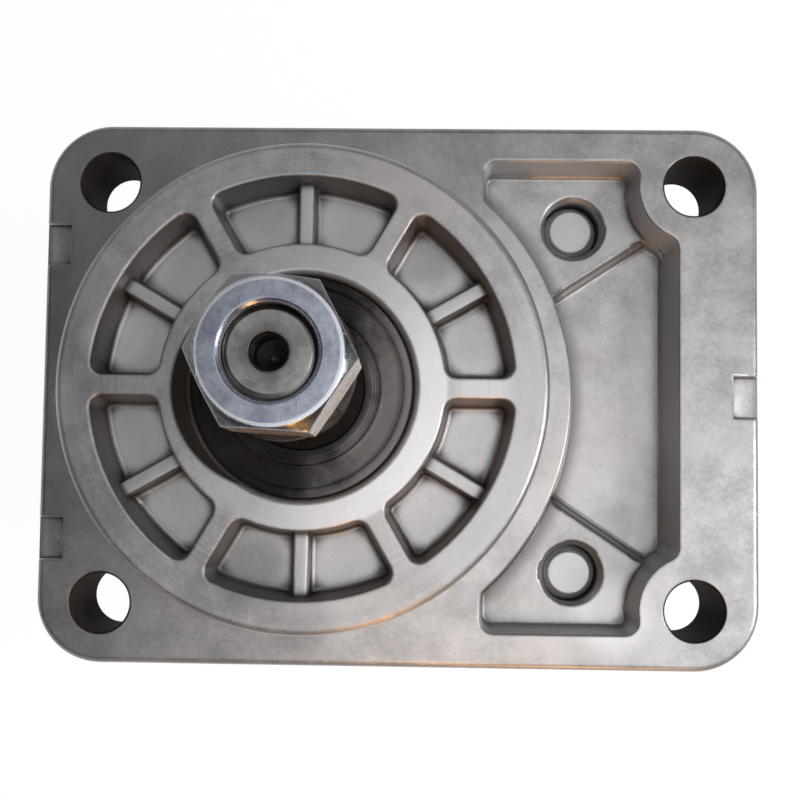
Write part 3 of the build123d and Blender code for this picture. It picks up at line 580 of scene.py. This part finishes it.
drivenSpin = next(joint for joint in frame["joints"] if joint["name"] == "driven_spin")
drivenAxis = drivenSpin["pos_m"][0] / mm
finishes = {
    "cast_aluminium": castAluminium(),
    "cover_aluminium": plainMetal(
        "coverAluminium", (0.56, 0.56, 0.55), (0.38, 0.375, 0.37), 0.45, 0.85, 0.8, depth=0.05, edge=0.4
    ),
    "body_aluminium": plainMetal(
        "bodyAluminium", (0.60, 0.60, 0.60), (0.42, 0.42, 0.42), 0.40, 0.9, 0.35, stretch=0.04, depth=0.02
    ),
    "block_alloy": plainMetal("blockAlloy", (0.66, 0.65, 0.62), (0.50, 0.49, 0.46), 0.36, 0.9, 0.4),
    "bush_metal": turnedMetal("bushMetal", (0.50, 0.42, 0.30), (0.32, 0.26, 0.19), 0.38),
    "shaft_steel": shaftSteel("shaftSteel"),
    "gear_steel": turnedMetal("gearSteel", (0.46, 0.46, 0.47), (0.30, 0.30, 0.31), 0.28, drivenAxis),
    "key_steel": plainMetal("keySteel", (0.42, 0.42, 0.42), (0.28, 0.28, 0.28), 0.35),
    "spring_steel": plainMetal(
        "springSteel", (0.13, 0.115, 0.105), (0.055, 0.048, 0.044), 0.42, cornerGrimeAndShade=0.6
    ),
    "zinc_steel": zincPlate("zincSteel"),
    "seal_rubber": nitrileRubber("sealRubber", dustAndLight=(0.30, 0.285, 0.29), sideShade=1.0),
    "case_steel": plainMetal("caseSteel", (0.40, 0.40, 0.40), (0.28, 0.28, 0.28), 0.4),
    "zone_rubber": nitrileRubber("zoneRubber", (0.018, 0.018, 0.018)),
    "backup_plastic": naturalPlastic("backupPlastic"),
    "sleeve_steel": turnedMetal("sleeveSteel", (0.48, 0.48, 0.48), (0.34, 0.34, 0.34), 0.33),
    "bolt_steel": plainMetal(
        "boltSteel", (0.66, 0.66, 0.67), (0.52, 0.52, 0.53), 0.36, 0.55, 0.9, depth=0.015, cornerGrimeAndShade=0.1
    ),
    "washer_steel": plainMetal("washerSteel", (0.60, 0.60, 0.62), (0.42, 0.42, 0.43), 0.34),
}
for part in frame["record"]["subparts"]:
    cadMesh = cadNodes[part["node"]].data
    cadMesh.materials.clear()
    cadMesh.materials.append(finishes[part["material_slot"]])
print("finishes made")


def cadCopy(nodeName):
    shape = bmesh.new()
    shape.from_mesh(cadNodes[nodeName].data)
    bmesh.ops.remove_doubles(shape, verts=shape.verts, dist=2e-6)
    bmesh.ops.dissolve_limit(shape, angle_limit=math.radians(0.4), verts=shape.verts, edges=shape.edges)
    return shape


def roundOff(shape, offset, segments, chosen):
    edges = [edge for edge in shape.edges if edge.is_manifold and chosen(edge)]
    bmesh.ops.bevel(
        shape,
        geom=edges,
        offset=offset * mm,
        offset_type="OFFSET",
        segments=segments,
        profile=0.5,
        affect="EDGES",
        clamp_overlap=False,
        loop_slide=False,
        material=-1,
    )


def turn(shape, profile, centre, steps, closed=False):  # a solid of revolution from its profile's points
    verts = [shape.verts.new(point) for point in profile]
    first = 0 if closed else 1
    edges = [shape.edges.new((verts[after - 1], verts[after])) for after in range(first, len(verts))]
    bmesh.ops.spin(
        shape, geom=verts + edges, cent=centre, axis=(0, 0, 1), angle=2 * math.pi, steps=steps, use_merge=True
    )


def place(shape, name, body, slotName, standsFor, smooth=32.0, fixNormals=False):
    if fixNormals:
        bmesh.ops.recalc_face_normals(shape, faces=shape.faces)
    mesh = bpy.data.meshes.new(name)
    shape.to_mesh(mesh)
    shape.free()
    mesh.polygons.foreach_set("use_smooth", [True] * len(mesh.polygons))
    mesh.set_sharp_from_angle(angle=math.radians(smooth))
    mesh.materials.append(finishes[slotName])
    piece = bpy.data.objects.new(name, mesh)
    bpy.context.scene.collection.objects.link(piece)
    evened = piece.modifiers.new("evenNormals", "WEIGHTED_NORMAL")
    evened.keep_sharp = True
    evened.weight = 80
    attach(piece, body)
    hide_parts(*standsFor)


# front cover, a softened copy of its casting: lengths in mm
coverShape = {
    "sharp": 28.0,  # degrees
    "floorRadius": 0.7,
    "deepRadius": 0.6,
    "edgeRadius": 0.4,
    "rootRadius": 0.4,
    "ribRadius": 0.55,
    "pilotR": 40.0,
    "rimZ": -1.0,
    "pocketDepths": (5.0, 7.0),
    "pocketFrom": 20.0,
    "ribZ": 5.0,
    "padZ": -5.5,
    "deepZ": -7.5,
    "stepEnds": (20.5, 35.0),  # the pads' step meets the ring and the side wall below these
    "stepSplitX": 50.0,
    "stepAngle": math.radians(33.5),
    "holeClear": 6.5,
    "rampRunIn": 1.2,
    "ramp": [  # out from the step and height
        (-0.3, -5.56), (0.0, -5.56), (0.3, -5.75), (0.6, -6.2), (0.9, -6.8), (1.2, -7.25), (1.5, -7.45),
        (1.7, -7.49), (1.7, -7.8), (-0.3, -7.8),
    ],
}


def coverSteps(shape):  # direction, length along and place of each step between a pad and the deep floor
    look = coverShape
    middleZ = (look["deepZ"] + look["padZ"]) / 2 * mm
    steps = []
    for face in shape.faces:
        at = face.calc_center_median()
        across = Vector((math.sin(look["stepAngle"]), -math.cos(look["stepAngle"]), 0))
        across.y *= math.copysign(1, at.y)
        if face.normal.dot(across) > 0.98 and abs(at.z - middleZ) < 0.2 * mm:
            along = Vector((-across.y, across.x, 0))
            ends = [vert.co.dot(along) for vert in face.verts]
            steps.append((across, along, min(ends), max(ends), at.dot(across)))
    return steps


def rampStep(shape, across, along, start, end, height):  # the cast ramp on a pad's step
    look = coverShape
    runIn = look["rampRunIn"] * mm
    outline = [
        across * (height + out * mm) + along * (start - runIn) + Vector((0, 0, up * mm))
        for out, up in look["ramp"]
    ]
    face = shape.faces.new([shape.verts.new(point) for point in outline])
    pulled = bmesh.ops.extrude_face_region(shape, geom=[face])["geom"]
    verts = [item for item in pulled if isinstance(item, bmesh.types.BMVert)]
    bmesh.ops.translate(shape, verts=verts, vec=along * (end - start + 2 * runIn))
    ramp = {around for vert in verts for around in vert.link_faces} | {face}
    bmesh.ops.recalc_face_normals(shape, faces=list(ramp))


def makeCover():
    look = coverShape
    shape = cadCopy("front_cover")
    sharp = math.radians(look["sharp"])
    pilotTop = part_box("front_cover")[1].z
    holes = [
        Vector((mountX + sideX * mountHalfX, mountY + sideY * mountHalfY))
        for sideX in (-1, 1)
        for sideY in (-1, 1)
    ]

    def middle(edge):
        return (edge.verts[0].co + edge.verts[1].co) / 2

    def hollow(edge):
        return edge.calc_face_angle_signed(0.0) < -sharp

    def ridge(edge):
        return edge.calc_face_angle_signed(0.0) > sharp

    def level(edge, height):
        return abs(middle(edge).z - height * mm) < 0.1 * mm

    def pocketFloor(edge):
        at = middle(edge)
        shallow, deep = look["pocketDepths"]
        inside = pilotTop - deep * mm < at.z < pilotTop - shallow * mm
        return hollow(edge) and inside and at.to_2d().length > look["pocketFrom"] * mm

    def padFloor(edge):
        at = middle(edge)
        end = look["stepEnds"][0] if at.x < look["stepSplitX"] * mm else look["stepEnds"][1]
        return hollow(edge) and level(edge, look["padZ"]) and abs(at.y) > end * mm

    def deepFloor(edge):
        return hollow(edge) and level(edge, look["deepZ"])

    def pilotRoot(edge):
        fromWall = abs(middle(edge).to_2d().length - look["pilotR"] * mm)
        return hollow(edge) and level(edge, 0.0) and fromWall < 0.3 * mm

    def ribTop(edge):
        return ridge(edge) and level(edge, look["ribZ"])

    def rim(edge):
        at = middle(edge)
        clear = min((at.to_2d() - hole).length for hole in holes) > look["holeClear"] * mm
        return ridge(edge) and at.z > look["rimZ"] * mm and clear and not ribTop(edge)

    steps = coverSteps(shape)
    roundOff(shape, look["ribRadius"], 3, ribTop)
    roundOff(shape, look["floorRadius"], 3, pocketFloor)
    roundOff(shape, look["floorRadius"], 3, padFloor)
    roundOff(shape, look["deepRadius"], 3, deepFloor)
    roundOff(shape, look["rootRadius"], 2, pilotRoot)
    roundOff(shape, look["edgeRadius"], 2, rim)
    for across, along, start, end, height in steps:
        rampStep(shape, across, along, start, end, height)
    place(shape, "coverCasting", "housing", "cast_aluminium", ["front_cover"])


makeCover()
print("front cover made")

# shaft seal with its beads and lip, turned from one section
sealShape = {
    "steps": 128,
    "section": [  # radius and height in mm
        (17.98, 0.4), (17.98, 6.6), (17.75, 7.1), (17.35, 7.36), (16.75, 7.36), (16.45, 7.15), (16.35, 6.8),
        (16.1, 6.65), (13.5, 6.65), (13.25, 6.8), (13.1, 7.05), (12.8, 7.05), (12.65, 6.75), (12.4, 6.6),
        (12.2, 6.7), (12.0, 6.6), (11.8, 6.7), (11.6, 6.6), (11.4, 6.7), (11.1, 6.65), (10.8, 6.45),
        (10.35, 6.2), (10.15, 5.9), (10.6, 5.4), (11.05, 4.9), (11.05, 3.7), (10.15, 2.8), (11.05, 0.9),
        (17.0, 0.4),
    ],
}


def makeSeal():
    shape = bmesh.new()
    profile = [(radius * mm, 0, height * mm) for radius, height in sealShape["section"]]
    turn(shape, profile, (0, 0, 0), sealShape["steps"], closed=True)
    place(shape, "sealRing", "housing", "seal_rubber", ["shaft_seal"], 40.0, True)


makeSeal()
print("shaft seal made")

# shaft nut, its corners and bore broken
nutShape = {"edgeRadius": 0.12, "sharp": 20.0}


def makeNut():
    shape = cadCopy("shaft_nut")
    sharp = math.radians(nutShape["sharp"])
    roundOff(shape, nutShape["edgeRadius"], 2, lambda edge: edge.calc_face_angle_signed(0.0) > sharp)
    place(shape, "shaftNut", "drive_train", "zinc_steel", ["shaft_nut"])


makeNut()
print("shaft nut made")

# body bolts with crowned heads and threaded ends: lengths in mm
boltShape = {
    "flats": 16.0,
    "crownR": 7.6,
    "crownSlope": math.tan(math.radians(30)),
    "headHeight": 6.4,
    "facets": 48,
    "shankR": 4.97,
    "shankStart": -0.5,  # from the head's seat
    "threadEnd": [  # radius and distance below the end
        (0.0, 0.0), (3.55, 0.0), (3.75, 0.12), (3.95, 0.45), (3.9, 0.6), (4.35, 0.95), (4.25, 1.15),
        (4.75, 1.5), (4.45, 1.95), (4.97, 2.5), (4.45, 3.2), (4.97, 3.9), (4.45, 4.6), (4.97, 5.3),
        (4.45, 6.0), (4.97, 6.7),
    ],
}


def hexRim(shape, centre, dropped):
    look = boltShape
    rim = bmesh.ops.create_circle(shape, segments=look["facets"], radius=1.0)["verts"]
    for vert in rim:
        angle = math.atan2(vert.co.y, vert.co.x)
        toFlat = (angle % (math.pi / 3)) - math.pi / 6
        reach = look["flats"] / 2 / math.cos(toFlat)
        sink = (reach - look["crownR"]) * look["crownSlope"] if dropped else 0.0
        vert.co = centre + Vector((math.cos(angle) * reach, math.sin(angle) * reach, sink)) * mm
    return rim


def ringEdges(verts):
    return list({edge for vert in verts for edge in vert.link_edges if edge.other_vert(vert) in verts})


def makeBolt(shape, centre, seatZ, crownZ, endZ):
    look = boltShape
    crown = bmesh.ops.create_circle(
        shape,
        segments=look["facets"],
        radius=look["crownR"] * mm,
        matrix=Matrix.Translation((centre.x, centre.y, crownZ)),
    )["verts"]
    shoulder = hexRim(shape, Vector((centre.x, centre.y, crownZ)), True)
    seat = hexRim(shape, Vector((centre.x, centre.y, seatZ)), False)
    loops = [ringEdges(crown), ringEdges(shoulder), ringEdges(seat)]
    bmesh.ops.bridge_loops(shape, edges=loops[0] + loops[1])
    bmesh.ops.bridge_loops(shape, edges=loops[1] + loops[2])
    bmesh.ops.contextual_create(shape, geom=loops[0])
    bmesh.ops.contextual_create(shape, geom=loops[2])
    startZ = seatZ + look["shankStart"] * mm
    profile = [(radius * mm, endZ - down * mm) for radius, down in look["threadEnd"]]
    profile += [(look["shankR"] * mm, startZ), (0.0, startZ)]
    turn(shape, [(centre.x + radius, centre.y, height) for radius, height in profile], centre, look["facets"])


def makeBolts():
    look = boltShape
    low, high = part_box("body_bolts")
    overCorner = look["flats"] / math.sqrt(3) * mm
    overFlat = look["flats"] / 2 * mm
    shape = bmesh.new()
    for x in (low.x + overCorner, high.x - overCorner):
        for y in (low.y + overFlat, high.y - overFlat):
            makeBolt(shape, Vector((x, y, 0)), low.z + look["headHeight"] * mm, low.z, high.z)
    bmesh.ops.remove_doubles(shape, verts=shape.verts, dist=1e-6)
    place(shape, "bodyBolts", "housing", "bolt_steel", ["body_bolts"], 30.0, True)


makeBolts()
print("bolts made")

# studio floor
floorLook = {
    "radius": 3.0,
    "below": 0.1,  # mm under the lowest piece
    "sides": 64,
    "colour": (0.86, 0.86, 0.86, 1.0),
    "share": 0.86,  # of the bright backdrop that the camera and reflections see
    "strength": 1.08,
}


def makeFloor():
    look = floorLook
    shape = bmesh.new()
    bmesh.ops.create_circle(
        shape,
        cap_ends=True,
        segments=look["sides"],
        radius=look["radius"],
        matrix=Matrix.Translation((0, 0, cadBounds[0].z - look["below"] * mm)),
    )
    mesh = bpy.data.meshes.new("studioFloor")
    shape.to_mesh(mesh)
    shape.free()
    floor = bpy.data.objects.new("studioFloor", mesh)
    bpy.context.scene.collection.objects.link(floor)
    material = bpy.data.materials.new("studioFloor")
    material.use_nodes = True
    nodes = NodeTree(material.node_tree)
    nodes.tree.nodes.remove(nodes.tree.nodes["Principled BSDF"])
    rays = [
        nodes.node("ShaderNodeLightPath", outlet=ray)
        for ray in ("Is Camera Ray", "Is Glossy Ray", "Is Transmission Ray")
    ]
    seen = (rays[0] + rays[1] + rays[2]).atMost(1.0)
    paint = nodes.node("ShaderNodeBsdfDiffuse", {}, {"Color": look["colour"]})
    glow = nodes.node("ShaderNodeEmission", {}, {"Strength": look["strength"]})
    nodes.surface(nodes.node("ShaderNodeMixShader", {}, {0: seen * look["share"], 1: paint, 2: glow}))
    mesh.materials.append(material)


makeFloor()

# studio light: a pale room that darkens overhead to the left, and lamps
roomLook = {
    "horizon": 1.0,
    "horizonBand": (0.03, 0.18),
    "dark": 0.08,
    "bright": 1.9,
    "centre": (0.17, -0.09),
    "spread": 0.62,
    "squash": 0.8,
    "colour": (1.0, 1.0, 1.0, 1.0),
}
lamps = {
    "keyLamp": {"place": (0.46, -0.06, 0.30), "size": 0.14, "power": 1.3, "colour": (1.0, 0.99, 0.98)},
    "fillLamp": {"place": (-0.22, 0.38, 0.45), "size": 0.30, "power": 0.12, "colour": (0.92, 0.95, 1.0)},
    "warmLamp": {"place": (0.10, -0.34, 0.06), "size": 0.045, "power": 0.22, "colour": (1.0, 0.50, 0.18)},
    "nearLamp": {"place": (0.028, -0.098, 0.088), "size": 0.018, "power": 0.013, "colour": (1.0, 0.50, 0.15)},
}


def makeRoom():
    look = roomLook
    world = bpy.data.worlds.new("studioRoom")
    world.use_nodes = True
    bpy.context.scene.world = world
    nodes = NodeTree(world.node_tree)
    x, y, z = nodes.split(nodes.node("ShaderNodeTexCoord", outlet="Generated"))
    centreX, centreY = look["centre"]
    awayX = x - centreX
    awayY = (y - centreY) * look["squash"]
    window = 1 - nodes.rise((awayX * awayX + awayY * awayY) ** 0.5, 0.0, look["spread"])
    ceiling = look["dark"] + window * (look["bright"] - look["dark"])
    overhead = nodes.rise(z, *look["horizonBand"])
    level = look["horizon"] + overhead * (ceiling - look["horizon"])
    seen = nodes.node("ShaderNodeLightPath", outlet="Is Camera Ray")
    sky = nodes.tree.nodes["Background"]
    feed(nodes.tree, sky.inputs["Strength"], level + seen * (look["horizon"] - level))
    sky.inputs["Color"].default_value = look["colour"]


def makeLamp(name, look):
    data = bpy.data.lights.new(name, "AREA")
    data.size = look["size"]
    data.energy = look["power"]
    data.color = look["colour"]
    lamp = bpy.data.objects.new(name, data)
    lamp.location = look["place"]
    lamp.rotation_euler = (-Vector(look["place"])).to_track_quat("-Z", "Y").to_euler()
    bpy.context.scene.collection.objects.link(lamp)


makeRoom()
for lampName, lampLook in lamps.items():
    makeLamp(lampName, lampLook)
print("studio lit")

bpy.context.scene.view_settings.view_transform = "Standard"
